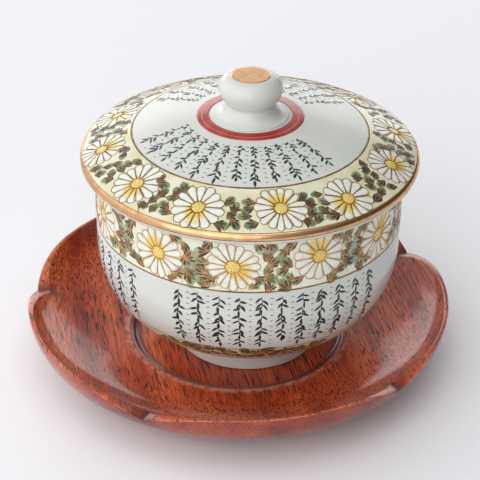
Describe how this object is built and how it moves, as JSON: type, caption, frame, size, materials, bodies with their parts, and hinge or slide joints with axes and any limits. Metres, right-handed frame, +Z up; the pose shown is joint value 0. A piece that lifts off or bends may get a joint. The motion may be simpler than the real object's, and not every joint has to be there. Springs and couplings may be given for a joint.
{
  "type": "lidded tea bowl with saucer",
  "caption": "Round lidded porcelain bowl with a knobbed lid, standing in a lobed wooden saucer; serves a hot drink or steamed food.",
  "frame": {"origin": "on the table under the saucer's axis; the bowl and lid stand 2.8 and 3.05 mm off it along +X", "axes": "+Z up along the saucer's axis, -Y towards the front, +X to the right"},
  "size_m": [0.1302, 0.1303, 0.0937],
  "materials": {
    "saucer_wood": "reddish brown hardwood with dark pores under a semi-gloss lacquer",
    "porcelain": "white porcelain under a clear glossy glaze, with overglaze enamels and gilding"
  },
  "bodies": {
    "saucer": {"saucer": "saucer_wood"},
    "bowl": {"bowl_cup": "porcelain", "bowl_foot_ring": "porcelain"},
    "lid": {"lid_dome": "porcelain", "lid_knob": "porcelain"}
  },
  "joints": [
    {"name": "bowl_lift", "type": "slide", "parent": "saucer", "child": "bowl", "axis": [0, 0, 1], "range_m": [0, 0.06]},
    {"name": "lid_lift", "type": "slide", "parent": "bowl", "child": "lid", "axis": [0, 0, 1], "range_m": [0, 0.06]}
  ]
}
